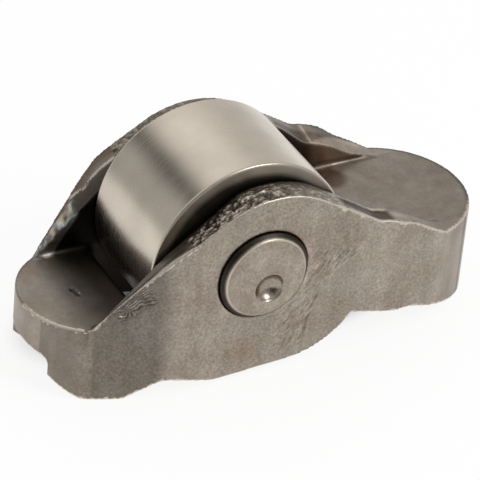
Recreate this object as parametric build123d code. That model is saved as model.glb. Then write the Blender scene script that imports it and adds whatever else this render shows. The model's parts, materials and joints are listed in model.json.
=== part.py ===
from build123d import *
from math import cos, pi, radians, sin, sqrt, tan
import os

# Roller rocker arm (finger follower), in millimetres.
# The arm pivots on a ball under one end, pushes a valve stem with the other, and a cam
# lobe runs on the roller between them. Origin: centre of the ball socket. +X points from
# the valve towards the pivot, +Y along the axle, +Z up, away from the valve.
# The shapes are drawn about the axle axis and moved to the origin at the end.

# Roller and its full set of needles
roller_diameter = 21.0
roller_width = 12.5
roller_edge_break = 0.35
roller_bore_break = 0.3
roller_wall = 3.74
axle_stand_out = 0.6
axle_end_chamfer = 0.5
needle_count = 18
needle_recess = 0.35
needle_end_round = 0.35
needle_radial_play = 0.02
needle_side_play = 0.03

# Punch mark in the near end of the axle
punch_radius = 1.45
punch_depth = 0.92
punch_below_axis = 1.3
punch_towards_pivot = 0.45

# Walls of the arm
roller_side_clearance = 0.25
wall_thickness = 3.0
valve_end_wall = 1.05
pivot_end_wall = 2.15
bore_edge_break = 0.2

# Reach of the arm from the axle axis, along it and down to the ball's centre
roller_front_gap = 1.0
roller_back_gap = 2.7
socket_wall = 1.3
axle_above_pivot = 9.5
axle_to_valve = 13.4

# Plan outline
flare_angle = 20.3
flare_round = 12.0
pivot_taper_length = 3.4
pivot_taper_gap = 0.5

# Side outline above the axle: a round crown and a ramp down to each plate
roller_above_walls = 1.95
crown_radius = 10.1
crown_offset = 0.93
valve_ramp_angle = 30.5
valve_knee = 9.3
valve_foot_length = 9.0
pivot_ramp_angle = 31.0
pivot_knee = 12.7
shoulder_length = 4.5
shoulder_radius = 12.4
pivot_foot_angle = 30.3
pivot_foot_length = 4.2
knee_round = 2.5

# Fall of the wall tops towards the inside, over the valve ramps
edge_fall = 1.5
edge_fall_end = 0.34
edge_fall_end_x = 2.0

# Plates at the two ends, below the axle axis
valve_plate_drop = 4.2
valve_plate_thickness = 5.15
pivot_plate_drop = 0.95
plate_corner_round = 0.6
pivot_lip_round = 1.5
valve_lip_round = 0.8

# Side outline below the axle
flange_reach = 2.95
flange_lead = 3.6
flange_front_radius = 8.0
flange_back = 13.7
scallop_length = 3.7
scallop_depth = 2.2
belly_start = 4.6
belly_cover = 0.85
belly_end = 4.0
belly_rise = 0.5
heel_radius = 9.0
notch_x = 10.4
block_slope = 13.5
scallop_round = 2.5
flange_round = 2.0

# Valve end: a crowned pad between two guide flanges
valve_stem_diameter = 7.0
valve_stem_clearance = 0.4
pad_crown_radius = 25.0
slot_corner_round = 0.8

# Pivot end: a ball socket
socket_radius = 4.3
socket_mouth_rise = 0.41
socket_mouth_chamfer = 0.5

# Worked-out sizes
wall_gap = roller_width + 2 * roller_side_clearance
half_gap = wall_gap / 2
half_width = half_gap + wall_thickness
valve_nose_radius = half_gap + valve_end_wall
pivot_nose_radius = half_gap + pivot_end_wall
axle_length = 2 * (half_width + axle_stand_out)
roller_radius = roller_diameter / 2
raceway_radius = roller_radius - roller_wall
needle_length = roller_width - 2 * needle_recess
punch_sphere_radius = (punch_radius**2 + punch_depth**2) / (2 * punch_depth)
needle_pitch_sine = sin(pi / needle_count)
needle_diameter = (
    2 * needle_pitch_sine * (raceway_radius - needle_radial_play) - needle_side_play
) / (1 + needle_pitch_sine)
needle_pitch_radius = raceway_radius - needle_radial_play - needle_diameter / 2
axle_radius = needle_pitch_radius - needle_diameter / 2 - needle_radial_play
slot_width = valve_stem_diameter + 2 * valve_stem_clearance
valve_end_x = -(axle_to_valve + valve_nose_radius)
window_edge_x = roller_radius + roller_back_gap
axle_to_pivot = window_edge_x + socket_wall + socket_radius
pivot_end_x = axle_to_pivot + pivot_nose_radius
crown_height = roller_radius - roller_above_walls
valve_foot = valve_knee + valve_foot_length
shoulder_x = pivot_knee + shoulder_length
pivot_foot = shoulder_x + pivot_foot_length
pad_drop = valve_plate_drop + valve_plate_thickness
flange_drop = pad_drop + flange_reach
scallop_x = flange_back - scallop_length
scallop_drop = flange_drop - scallop_depth
belly_drop = roller_radius + belly_cover
belly_end_drop = belly_drop - belly_rise
socket_mouth_drop = axle_above_pivot - socket_mouth_rise
valve_edge_x = -sqrt((roller_radius + roller_front_gap) ** 2 - valve_plate_drop**2)
beyond = 5.0
tiny = 0.01

# The socket centre is the origin; everything is drawn about the axle axis.
to_origin = Pos(-axle_to_pivot, 0, axle_above_pivot)


def block_bottom(x):
    """Height of the pivot block's underside at a distance from the axle."""
    return -socket_mouth_drop - (x - axle_to_pivot) * tan(radians(block_slope))


def side_outline():
    """The arm seen from the side: crown, ramps, plates, flanges, belly and pivot block."""
    crown_z = crown_height - crown_radius
    valve_angle = radians(valve_ramp_angle)
    pivot_angle = radians(pivot_ramp_angle)
    valve_tangent = (
        crown_offset - crown_radius * sin(valve_angle),
        crown_z + crown_radius * cos(valve_angle),
    )
    pivot_tangent = (
        crown_offset + crown_radius * sin(pivot_angle),
        crown_z + crown_radius * cos(pivot_angle),
    )
    crown_top = (crown_offset, crown_height)
    valve_knee_point = (-valve_knee, valve_ramp_height(-valve_knee))
    pivot_knee_point = (
        pivot_knee,
        pivot_tangent[1] - (pivot_knee - pivot_tangent[0]) * tan(pivot_angle),
    )
    shoulder_end = (
        shoulder_x,
        -pivot_plate_drop + pivot_foot_length * tan(radians(pivot_foot_angle)),
    )
    notch = (notch_x, block_bottom(notch_x))
    belly_end_point = (belly_end, -belly_end_drop)
    flange_toe = (valve_end_x + flange_lead, -flange_drop)
    flange_tip = (valve_end_x, -flange_drop + flange_lead)
    with BuildSketch(Plane.XZ) as outline:
        with BuildLine():
            ThreePointArc(valve_tangent, crown_top, pivot_tangent)
            Line(pivot_tangent, pivot_knee_point)
            RadiusArc(pivot_knee_point, shoulder_end, shoulder_radius)
            Polyline(
                shoulder_end,
                (pivot_foot, -pivot_plate_drop),
                (pivot_end_x + beyond, -pivot_plate_drop),
                (pivot_end_x + beyond, block_bottom(pivot_end_x + beyond)),
                notch,
            )
            RadiusArc(notch, belly_end_point, heel_radius)
            Polyline(
                belly_end_point,
                (-belly_start, -belly_drop),
                (-scallop_x, -scallop_drop),
                (-flange_back, -flange_drop),
                flange_toe,
            )
            RadiusArc(flange_toe, flange_tip, flange_front_radius)
            Polyline(
                flange_tip,
                (valve_end_x - beyond, -flange_drop + flange_lead),
                (valve_end_x - beyond, -valve_plate_drop),
                (-valve_foot, -valve_plate_drop),
                valve_knee_point,
                valve_tangent,
            )
        make_face()
        rounded = {
            (-valve_knee, valve_knee_point[1]): knee_round,
            (pivot_knee, pivot_knee_point[1]): knee_round / 2,
            (-scallop_x, -scallop_drop): scallop_round,
            (-flange_back, -flange_drop): flange_round,
            (-belly_start, -belly_drop): scallop_round,
        }
        for (x, z), radius in rounded.items():
            corner = outline.vertices().sort_by_distance((x, z, 0))[0]
            fillet(corner, radius)
    return outline.sketch


def valve_ramp_height(x):
    """Height of the upper valve ramp's line, which touches the crown."""
    angle = radians(valve_ramp_angle)
    touch_x = crown_offset - crown_radius * sin(angle)
    touch_z = crown_height - crown_radius + crown_radius * cos(angle)
    return touch_z + (x - touch_x) * tan(angle)


def plan_outline():
    """The arm seen from above: two round noses, a flare from the valve nose to the boss."""
    flare = radians(flare_angle)
    valve_touch = (
        -axle_to_valve - valve_nose_radius * sin(flare),
        valve_nose_radius * cos(flare),
    )
    flare_run = (half_width - valve_touch[1]) / tan(flare)
    boss_corner = (valve_touch[0] + flare_run, half_width)
    taper_end = (axle_to_pivot - pivot_taper_gap, pivot_nose_radius)
    taper_start = (taper_end[0] - pivot_taper_length, half_width)
    pivot_touch = (axle_to_pivot, pivot_nose_radius)
    valve_end = (valve_end_x, 0)
    pivot_end = (pivot_end_x, 0)
    with BuildSketch(Plane.XY) as outline:
        with BuildLine():
            Polyline(valve_touch, boss_corner, taper_start)
            Spline(taper_start, taper_end, tangents=[(1, 0), (1, 0)])
            Line(taper_end, pivot_touch)
            TangentArc(pivot_touch, pivot_end, tangent=(1, 0))
            ThreePointArc(
                valve_end,
                (
                    -axle_to_valve - valve_nose_radius * cos(flare / 2),
                    valve_nose_radius * sin(flare / 2),
                ),
                valve_touch,
            )
            Line(valve_end, pivot_end)
        make_face()
        corner = outline.vertices().sort_by_distance((*boss_corner, 0))[0]
        fillet(corner, flare_round)
        mirror(about=Plane.XZ)
    return outline.sketch


def roller_window():
    """The space for the roller, cut through between the walls."""
    length = window_edge_x - valve_edge_x
    height = crown_height + flange_drop + 2 * beyond
    return Pos((window_edge_x + valve_edge_x) / 2, 0, (crown_height - flange_drop) / 2) * Box(
        length, wall_gap, height
    )


def plate_space(low_x, high_x, drop):
    """The space above one plate, between the walls."""
    height = drop + crown_height + beyond
    return Pos((low_x + high_x) / 2, 0, -drop + height / 2) * Box(
        high_x - low_x, wall_gap, height
    )


def edge_fall_station(x, top, fall, side):
    """Section of the air above a wall whose top falls towards the inside."""
    inner = side * (half_gap - beyond)
    outer = side * (half_width + beyond)
    slope = fall / wall_thickness
    points = [
        (inner, top - fall - slope * beyond),
        (outer, top + slope * beyond),
        (outer, top + slope * beyond + beyond),
        (inner, top + beyond),
    ]
    plane = Plane(origin=(x, 0, 0), x_dir=(0, 1, 0), z_dir=(1, 0, 0))
    return plane * Polygon(*points, align=None)


def edge_falls():
    """What is taken off the wall tops over the two valve ramps, on both sides."""
    knee_z = valve_ramp_height(-valve_knee)
    lower_slope = (knee_z + valve_plate_drop) / (valve_foot - valve_knee)
    start_x = valve_end_x - beyond
    start_z = knee_z + (start_x + valve_knee) * lower_slope
    stations = [
        (start_x, start_z, edge_fall),
        (-valve_knee, knee_z, edge_fall),
        (-edge_fall_end_x, valve_ramp_height(-edge_fall_end_x), edge_fall_end),
    ]
    pieces = []
    for side in (-1, 1):
        for start, end in zip(stations, stations[1:]):
            pieces.append(
                loft(
                    [edge_fall_station(*start, side), edge_fall_station(*end, side)],
                    ruled=True,
                )
            )
    height = valve_plate_drop + crown_height + 2 * beyond
    above_plate = Pos(0, 0, -valve_plate_drop + height / 2) * Box(
        -2 * (valve_end_x - beyond), 2 * (half_width + 2 * beyond), height
    )
    return [piece & above_plate for piece in pieces]


def valve_slot():
    """The slot between the guide flanges, roofed by the crowned pad."""
    pad_axis_z = pad_crown_radius - pad_drop
    low = flange_drop + beyond
    slot = Pos(-axle_to_valve, 0, -low / 2) * Box(
        2 * (valve_nose_radius + beyond), slot_width, low
    )
    crown = Pos(-axle_to_valve, 0, pad_axis_z) * Cylinder(
        pad_crown_radius, wall_gap + 2 * beyond, rotation=(90, 0, 0)
    )
    slot = slot - crown
    roof_edges = [
        edge
        for edge in slot.edges().filter_by(GeomType.CIRCLE)
        if abs(abs(edge.center().Y) - slot_width / 2) < tiny
    ]
    return fillet(roof_edges, slot_corner_round)


def ball_socket():
    """The socket for the ball, with a chamfered mouth."""
    ball = Pos(axle_to_pivot, 0, -axle_above_pivot) * Sphere(socket_radius)
    mouth_radius = sqrt(socket_radius**2 - socket_mouth_rise**2)
    cone_height = socket_mouth_chamfer + beyond
    cone = Cone(mouth_radius + cone_height, mouth_radius, cone_height)
    tilt = Rot(0, block_slope, 0)
    mouth = Pos(axle_to_pivot, 0, socket_mouth_chamfer - socket_mouth_drop) * tilt * Pos(
        0, 0, -cone_height / 2
    )
    return ball + mouth * cone


def edges_along(solid, axis, x, z):
    """The edges along an axis that pass a distance from the axle and a height."""
    return [
        edge
        for edge in solid.edges().filter_by(axis)
        if abs(edge.center().X - x) < tiny and abs(edge.center().Z - z) < tiny
    ]


def plate_corners(solid):
    """The inside corners where the walls stand on the two plates."""
    return [
        edge
        for edge in solid.edges().filter_by(Axis.X)
        if abs(abs(edge.center().Y) - half_gap) < tiny
        and min(abs(edge.center().Z + drop) for drop in (valve_plate_drop, pivot_plate_drop)) < tiny
    ]


def bore_rims(solid):
    """The outer edges of the two holes that hold the axle."""
    return [
        edge
        for edge in solid.edges().filter_by(GeomType.CIRCLE)
        if abs(edge.radius - axle_radius) < tiny and abs(edge.center().Y) > half_width - tiny
    ]


def body():
    """The arm itself: one formed and hardened piece of steel."""
    plan = plan_outline()
    height = crown_height + flange_drop + 2 * beyond
    arm = extrude(side_outline(), half_width, both=True)
    arm = arm & (Pos(0, 0, -flange_drop - beyond) * extrude(plan, height))
    arm = arm - edge_falls()
    arm = arm - plate_space(valve_end_x - beyond, 0, valve_plate_drop)
    arm = arm - plate_space(0, pivot_end_x + beyond, pivot_plate_drop)
    arm = arm - roller_window()
    arm = arm - valve_slot()
    arm = arm - ball_socket()
    arm = arm - Cylinder(axle_radius, 2 * (half_width + beyond), rotation=(90, 0, 0))
    arm = fillet(edges_along(arm, Axis.Y, window_edge_x, -pivot_plate_drop), pivot_lip_round)
    arm = fillet(edges_along(arm, Axis.Y, valve_edge_x, -valve_plate_drop), valve_lip_round)
    arm = fillet(plate_corners(arm), plate_corner_round)
    return chamfer(bore_rims(arm), bore_edge_break)


def axle():
    """The fixed axle, its ends chamfered and standing a little out of the walls."""
    pin = Cylinder(axle_radius, axle_length, rotation=(90, 0, 0))
    ends = pin.edges().filter_by(GeomType.CIRCLE)
    pin = chamfer(ends, axle_end_chamfer)
    punch_y = punch_depth - punch_sphere_radius - axle_length / 2
    punch = Pos(punch_towards_pivot, punch_y, -punch_below_axis) * Sphere(punch_sphere_radius)
    return pin - punch


def roller():
    """The roller ring, ground outside and inside, with broken edges."""
    ring = Cylinder(roller_radius, roller_width, rotation=(90, 0, 0))
    ring = chamfer(ring.edges().filter_by(GeomType.CIRCLE), roller_edge_break)
    half = roller_width / 2
    flare = raceway_radius + roller_bore_break
    with BuildSketch(Plane.XY) as section:
        Polygon(
            (0, -half - beyond),
            (flare + beyond, -half - beyond),
            (raceway_radius, -half + roller_bore_break),
            (raceway_radius, half - roller_bore_break),
            (flare + beyond, half + beyond),
            (0, half + beyond),
            align=None,
        )
    return ring - revolve(section.sketch, Axis.Y)


def needle(number):
    """One bearing needle of the full set, with rounded ends."""
    pin = Cylinder(needle_diameter / 2, needle_length, rotation=(90, 0, 0))
    pin = fillet(pin.edges().filter_by(GeomType.CIRCLE), needle_end_round)
    angle = 2 * pi * number / needle_count
    place = Pos(needle_pitch_radius * sin(angle), 0, needle_pitch_radius * cos(angle))
    return place * pin


def write(node, solid):
    """Write one sub-part, moved to the part's own frame."""
    export_step(to_origin * solid, f"parts/{node}.step")


os.makedirs("parts", exist_ok=True)
write("body", body())
write("axle", axle())
write("roller", roller())
for number in range(needle_count):
    write(f"needle_{number + 1:02d}", needle(number))
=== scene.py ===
import json
import math
from functools import partial

import bmesh
import bpy
import numpy as np
from mathutils import Matrix, Vector


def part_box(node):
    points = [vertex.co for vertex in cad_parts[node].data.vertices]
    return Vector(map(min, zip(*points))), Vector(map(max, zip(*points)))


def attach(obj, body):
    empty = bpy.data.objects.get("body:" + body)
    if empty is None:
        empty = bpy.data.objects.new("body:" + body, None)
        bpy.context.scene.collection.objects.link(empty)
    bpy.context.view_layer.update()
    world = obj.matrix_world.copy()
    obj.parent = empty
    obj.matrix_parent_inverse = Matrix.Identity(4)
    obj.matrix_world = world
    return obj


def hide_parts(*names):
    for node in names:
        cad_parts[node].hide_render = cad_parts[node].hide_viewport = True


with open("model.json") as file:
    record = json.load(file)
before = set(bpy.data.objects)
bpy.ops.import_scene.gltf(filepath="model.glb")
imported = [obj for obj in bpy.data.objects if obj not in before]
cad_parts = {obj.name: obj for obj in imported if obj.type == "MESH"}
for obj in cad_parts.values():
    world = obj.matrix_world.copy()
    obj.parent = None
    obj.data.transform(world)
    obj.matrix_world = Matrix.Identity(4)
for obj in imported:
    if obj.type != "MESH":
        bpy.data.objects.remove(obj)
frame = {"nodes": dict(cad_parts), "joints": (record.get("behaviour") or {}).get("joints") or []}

bl_info = {
    "name": "Roller rocker arm",
    "version": (1, 0, 0),
    "blender": (4, 5, 0),
    "location": "3D View > Sidebar > Rocker arm",
    "description": "Dresses the packed rocker arm: formed arm, axle, roller, needles and stage",
    "category": "Object",
}

MM = 0.001
AXLE_CENTRE = Vector(frame["joints"][0]["pos_m"])
NEEDLES = sorted(name for name in frame["nodes"] if name.startswith("needle_"))


# ---- Sizes read from the frame ----


def reach(node, axis):
    """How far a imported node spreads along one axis, in metres."""
    low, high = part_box(node)
    return high[axis] - low[axis]


def farthest(node, low=True):
    """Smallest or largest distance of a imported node's points from the axle's line."""
    distances = [
        math.hypot(point.co.x - AXLE_CENTRE.x, point.co.z - AXLE_CENTRE.z)
        for point in frame["nodes"][node].data.vertices
    ]
    return min(distances) if low else max(distances)


ROLLER_RADIUS = reach("roller", 2) / 2
ROLLER_WIDTH = reach("roller", 1)
RACEWAY_RADIUS = farthest("roller")
AXLE_RADIUS = reach("axle", 2) / 2
AXLE_LENGTH = reach("axle", 1)
NEEDLE_LENGTH = reach(NEEDLES[0], 1)
NEEDLE_RADIUS = (farthest(NEEDLES[0], low=False) - farthest(NEEDLES[0])) / 2
NEEDLE_CIRCLE = farthest(NEEDLES[0]) + NEEDLE_RADIUS


# ---- Colour, nodes and meshes ----

# The two colours that a mix node takes, by their place among its inputs
MIX_A, MIX_B = 6, 7


def linear(hex_colour):
    """Linear red, green and blue of an sRGB hex colour."""
    parts = [int(hex_colour[i : i + 2], 16) / 255 for i in (0, 2, 4)]
    return tuple(
        part / 12.92 if part <= 0.04045 else ((part + 0.055) / 1.055) ** 2.4 for part in parts
    )


def add_node(tree, kind, inputs=None, stops=(), **settings):
    """Adds a node. Each input takes a value, a socket, or a node for its first live output."""
    node = tree.nodes.new(kind)
    for name, value in settings.items():
        setattr(node, name, value)
    for index, (place, colour) in enumerate(stops):
        elements = node.color_ramp.elements
        stop = elements[index] if index < len(elements) else elements.new(place)
        stop.position = place
        stop.color = (*colour, 1)
    for key, value in (inputs or {}).items():
        if isinstance(value, bpy.types.Node):
            value = next(socket for socket in value.outputs if socket.enabled)
        if isinstance(value, bpy.types.NodeSocket):
            tree.links.new(value, node.inputs[key])
        else:
            node.inputs[key].default_value = value
    return node


def new_material(name):
    """An empty node material, and add_node for its tree."""
    material = bpy.data.materials.new(name)
    material.use_nodes = True
    material.node_tree.nodes.clear()
    return material, partial(add_node, material.node_tree)


def from_axle(node):
    """Place, place from the axle's middle, and distance from the axle's line, in a material."""
    place = node("ShaderNodeTexCoord").outputs["Object"]
    centred = node("ShaderNodeVectorMath", {0: place, 1: tuple(AXLE_CENTRE)}, operation="SUBTRACT")
    flat = node("ShaderNodeVectorMath", {0: centred, 1: (1, 0, 1)}, operation="MULTIPLY")
    return place, centred, node("ShaderNodeVectorMath", {0: flat}, operation="LENGTH")


def noise_level(node, place, low, high, scale, detail=2.0, roughness=0.5):
    """A noise texture, and the level from low to high that it gives."""
    look = {"Vector": place, "Scale": scale, "Detail": detail, "Roughness": roughness}
    noise = node("ShaderNodeTexNoise", look)
    # Noise rarely leaves the middle of its range
    ends = {"From Min": 0.3, "From Max": 0.7, "To Min": low, "To Max": high}
    return noise, node("ShaderNodeMapRange", {"Value": noise, **ends})


def finish_metal(node, looks):
    """Ends a material's tree as bare metal with the given colour, roughness and normal."""
    metal = node("ShaderNodeBsdfPrincipled", {"Metallic": 1.0, **looks})
    node("ShaderNodeOutputMaterial", {"Surface": metal})


def place_piece(name, mesh, material, body, slot, *nodes):
    """Makes a finished piece of a mesh, sets it on its body and hides the imported parts that it
    stands for.
    """
    mesh.materials.clear()
    mesh.materials.append(material)
    piece = bpy.data.objects.new(name, mesh)
    bpy.context.scene.collection.objects.link(piece)
    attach(piece, body)
    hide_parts(*nodes)


def evaluated_mesh(holder):
    """The plain mesh that an object's modifiers give; the object is then removed."""
    bpy.context.view_layer.update()
    graph = bpy.context.evaluated_depsgraph_get()
    mesh = bpy.data.meshes.new_from_object(holder.evaluated_get(graph), depsgraph=graph)
    bpy.data.objects.remove(holder)
    return mesh


def holder_of(mesh):
    """A bare object that carries a mesh while its modifiers are worked out."""
    holder = bpy.data.objects.new("holder", mesh)
    bpy.context.scene.collection.objects.link(holder)
    return holder


# ---- Patterns on points ----


def rise(low, high, value):
    """0 below low, 1 above high, and an even S curve between."""
    part = np.clip((value - low) / (high - low), 0, 1)
    return part * part * (3 - 2 * part)


def band(value, a, b, c, d):
    """0 up to a, 1 from b to c, 0 from d on, and even S curves between."""
    return rise(a, b, value) * rise(d, c, value)


def grain(points, seed):
    """Even random values from -1 to 1, with one bump or so to each unit of length."""
    cell = np.floor(points).astype(np.int64)
    part = points - cell
    part = part * part * (3 - 2 * part)
    total = np.zeros(len(points))
    for corner in np.ndindex(2, 2, 2):
        spot = cell + corner
        # Large factors turn the corner's place and the seed into a scattered number
        mixed = spot[:, 0] * 73856093 ^ spot[:, 1] * 19349663 ^ spot[:, 2] * 83492791
        mixed = (mixed ^ seed * 40503) & 0x7FFFFFFF
        mixed = (mixed ^ mixed >> 13) * 1274126177 & 0x7FFFFFFF
        value = ((mixed ^ mixed >> 16) & 0xFFFF) / 32767.5 - 1
        weight = np.prod(np.where(corner, part, 1 - part), axis=1)
        total += weight * value
    return total


def read_vectors(mesh, name="co"):
    """Each point's place in metres, or its "normal", as an array."""
    values = np.empty(len(mesh.vertices) * 3)
    mesh.vertices.foreach_get(name, values)
    return values.reshape(-1, 3)


def write_points(mesh, points):
    """Puts changed points back into the mesh."""
    mesh.vertices.foreach_set("co", points.reshape(-1))
    mesh.update()


def neighbour_mean(mesh, values):
    """For each point, the mean of the values at the points joined to it."""
    pairs = np.empty(len(mesh.edges) * 2, dtype=np.int32)
    mesh.edges.foreach_get("vertices", pairs)
    pairs = pairs.reshape(-1, 2)
    count = np.zeros(len(values))
    total = np.zeros_like(values)
    for here, there in ((0, 1), (1, 0)):
        np.add.at(total, pairs[:, here], values[pairs[:, there]])
        np.add.at(count, pairs[:, here], 1)
    count = np.maximum(count, 1)
    return total / (count[:, None] if values.ndim == 2 else count)


# ---- Formed arm ----


class ArmSettings(bpy.types.PropertyGroup):
    mesh_step: bpy.props.FloatProperty(
        name="Mesh step", description="Side of one face of the arm's even mesh",
        default=0.25 * MM, min=0.2 * MM, max=1 * MM, precision=5, unit="LENGTH",
    )
    softening: bpy.props.IntProperty(
        name="Edge softening", description="How often the mesh is evened, which rounds its edges",
        default=2, min=0, max=20,
    )
    grain_depth: bpy.props.FloatProperty(
        name="Sheared grain", description="Depth of the torn grain on the tops of the walls",
        default=0.19 * MM, min=0, max=0.5 * MM, precision=5, unit="LENGTH",
    )
    wrinkle_depth: bpy.props.FloatProperty(
        name="Wrinkles", description="Depth of the wrinkles that forming left on the walls",
        default=0.07 * MM, min=0, max=0.5 * MM, precision=5, unit="LENGTH",
    )
    crease_depth: bpy.props.FloatProperty(
        name="Crease", description="Depth of the crease beside the axle",
        default=0.06 * MM, min=0, max=0.5 * MM, precision=5, unit="LENGTH",
    )
    inner_fall: bpy.props.FloatProperty(
        name="Inner fall", description="How far the pivot-side wall tops fall inwards",
        default=0.85 * MM, min=0, max=1 * MM, precision=5, unit="LENGTH",
    )
    colour: bpy.props.FloatVectorProperty(
        name="Steel", description="Main colour of the formed steel",
        subtype="COLOR", default=linear("9C9286"), min=0, max=1,
    )
    brown: bpy.props.FloatVectorProperty(
        name="Temper brown", description="Colour of the browner patches",
        subtype="COLOR", default=linear("94867A"), min=0, max=1,
    )


# Measures of the arm in mm from the axle's middle, with x towards the pivot and z up
WALL_INSIDE = 6.5
NOSE_CENTRE, NOSE_RADIUS = 18.8, 8.65
VALVE_PLATE, PIVOT_PLATE = -4.2, -0.95
# The crease beside the axle, as x and z, from below upwards
CREASE = np.array(
    [(4.9, -10.6), (5.2, -7.8), (5.6, -5.4), (6.4, -3.4), (7.4, -1.9), (8.6, -0.8), (10.2, 0.1)]
)
NICK = np.array([(-15.47, 0.35), (-15.29, -0.62)])
# The side that the light comes from, as x and y
LIT_FROM = (-0.51, -0.86)
# Painted highlight bands on the outer sides: middle, width and strength
PAINTED_HIGHLIGHT_BANDS = ((-17.3, 0.9, 0.10), (-5.6, 1.2, 0.08), (13.4, 0.7, 0.14), (21.0, 0.9, 0.16))
# Tone across the wall tops, with painted highlight lines and painted shade bands: wall (-1 near,
# 1 far), from x, to x, places from the outer edge (0) to the inner edge (1), and the tone at each
# place
WALL_TOPS = (
    (
        -1, -18.5, -8.2,
        (0, 0.22, 0.3, 0.42, 0.55, 0.78, 0.86, 1),
        (1.2, 1.2, 0.4, 0.4, 0.7, 0.7, 0.95, 0.4),
    ),
    (-1, 8.4, 14.7, (0, 0.1, 0.72, 0.82, 0.96, 1), (1.1, 1.0, 1.0, 1.6, 1.6, 1.0)),
    (-1, 14.7, 18.0, (0, 0.1, 0.25, 0.35, 0.6, 0.7, 1), (1.1, 1.1, 0.75, 1.15, 1.15, 0.85, 0.75)),
    (
        1, 4.0, 20.5,
        (0, 0.06, 0.1, 0.34, 0.46, 0.8, 0.87, 0.94, 1),
        (0.6, 0.6, 1.4, 1.3, 1.0, 1.05, 0.85, 1.3, 1.1),
    ),
)


def outer_side(x):
    """Distance of the walls' outer faces from the middle of the arm, in mm."""
    beyond = np.clip(x - NOSE_CENTRE, 0, None)
    nose = np.sqrt(np.clip(NOSE_RADIUS**2 - beyond**2, 45, None))
    walls = np.interp(x, [-21.0, -9.5, 14.9, 18.3], [5.25, 9.5, 9.5, NOSE_RADIUS])
    return np.where(x < 18.3, walls, nose)


def inwardness(x, side):
    """Place across the wall tops, from 0 at the outer edge to 1 at the inner edge."""
    outer = outer_side(x)
    return np.clip((outer - side) / np.maximum(outer - WALL_INSIDE, 0.4), 0, 1)


def near_strip(x, y, inwards):
    """The shallow strip along the near wall's top on the pivot side, from 0 to 1; where it is
    used, it is sunk a little and darkened as painted shade.
    """
    start = np.interp(x, [9.5, 13.0], [0.26, 0.1])
    across = band(inwards, start, start + 0.08, 0.7, 0.82)
    return (y < 0) * across * band(x, 8.0, 9.6, 14.2, 14.8)


def crease_distance(points):
    """Distance from the crease's line in mm, positive on its pivot side."""
    line = np.interp(points[:, 2], CREASE[:, 1], CREASE[:, 0])
    slope = np.gradient(CREASE[:, 0], CREASE[:, 1])
    lean = np.interp(points[:, 2], CREASE[:, 1], slope)
    return (points[:, 0] - line) / np.sqrt(1 + lean * lean)


def forming_zones(points, normals):
    """How strongly each mark of the forming shows at each point, from 0 to 1."""
    x, y, z = points.T
    side = np.abs(y)
    sideways = np.abs(normals[:, 1])
    flare = np.clip(-9.5 - x, 0, None) * 0.37
    outside = rise(0.7, 0.9, sideways) * rise(8.1, 8.7, side + flare)
    wall_top = rise(6.4, 6.7, side) * rise(0.3, 0.55, normals[:, 2]) * rise(-3.9, -3.3, z)
    crown = wall_top * band(x, -8.0, -7.2, 8.0, 12.0) * rise(9.45, 9.1, side)
    coarse = (0.35 + 0.65 * rise(3.5, 0.5, x)) * rise(6.6, 7.5, side)
    far_ramp = wall_top * (y > 0) * band(x, -18.0, -16.8, -12.5, -11.9)
    far_ramp = far_ramp * rise(0.2, 0.35, inwardness(x, side))
    distance = crease_distance(points)
    beside = outside * band(distance, -4.4, -2.0, 0.1, 0.7)
    beside = beside * band(z, -10.4, -8.6, 0.4, 2.2) * rise(5.0, 5.5, np.hypot(x, z))
    # The patch of wrinkles below the valve side's shoulder leans by 36 degrees
    ahead, above = x + 13.2, z + 1.4
    along, across = ahead * 0.81 + above * 0.59, above * 0.81 - ahead * 0.59
    frayed = 0.5 * grain(points / (0.7, 2, 0.5), 9)
    patch = rise(0.7, 0.94, sideways) * rise(6.8, 7.2, side)
    patch = patch * rise(2.6, 1.4, np.abs(along) + frayed)
    patch = patch * rise(1.3, 0.6, np.abs(across) + 0.7 * frayed)
    return {
        "outside": outside,
        "wall_top": wall_top,
        "crown": crown * coarse,
        "far_ramp": far_ramp,
        "beside": beside,
        "patch": patch,
        "streaks": outside * band(x, -9.5, -8.3, -6.6, -5.2) * rise(-4.0, -1.0, z),
        "dimples": outside * band(x, 7.0, 8.8, 11.2, 12.8) * rise(-1.8, 0.3, z),
        "distance": distance,
        "across": across,
    }


def read_arm(mesh):
    """The arm's points in mm from the axle's middle, their normals and forming zones."""
    points = (read_vectors(mesh) - np.array(AXLE_CENTRE)) / MM
    normals = read_vectors(mesh, "normal")
    return points, normals, forming_zones(points, normals)


def fine_arm_mesh(step, passes):
    """A closed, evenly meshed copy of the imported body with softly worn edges."""
    merged = bmesh.new()
    merged.from_mesh(frame["nodes"]["body"].data)
    bmesh.ops.remove_doubles(merged, verts=merged.verts, dist=1e-6)
    mesh = bpy.data.meshes.new("arm_copy")
    merged.to_mesh(mesh)
    merged.free()
    holder = holder_of(mesh)
    remesh = holder.modifiers.new("Even mesh", "REMESH")
    remesh.mode = "SHARP"
    remesh.octree_depth = 8
    remesh.scale = min(0.99, reach("body", 0) / (step * 2**remesh.octree_depth))
    even = evaluated_mesh(holder)
    points = read_vectors(even)
    for _ in range(passes):
        points += 0.5 * (neighbour_mean(even, points) - points)
    write_points(even, points)
    return even


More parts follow.
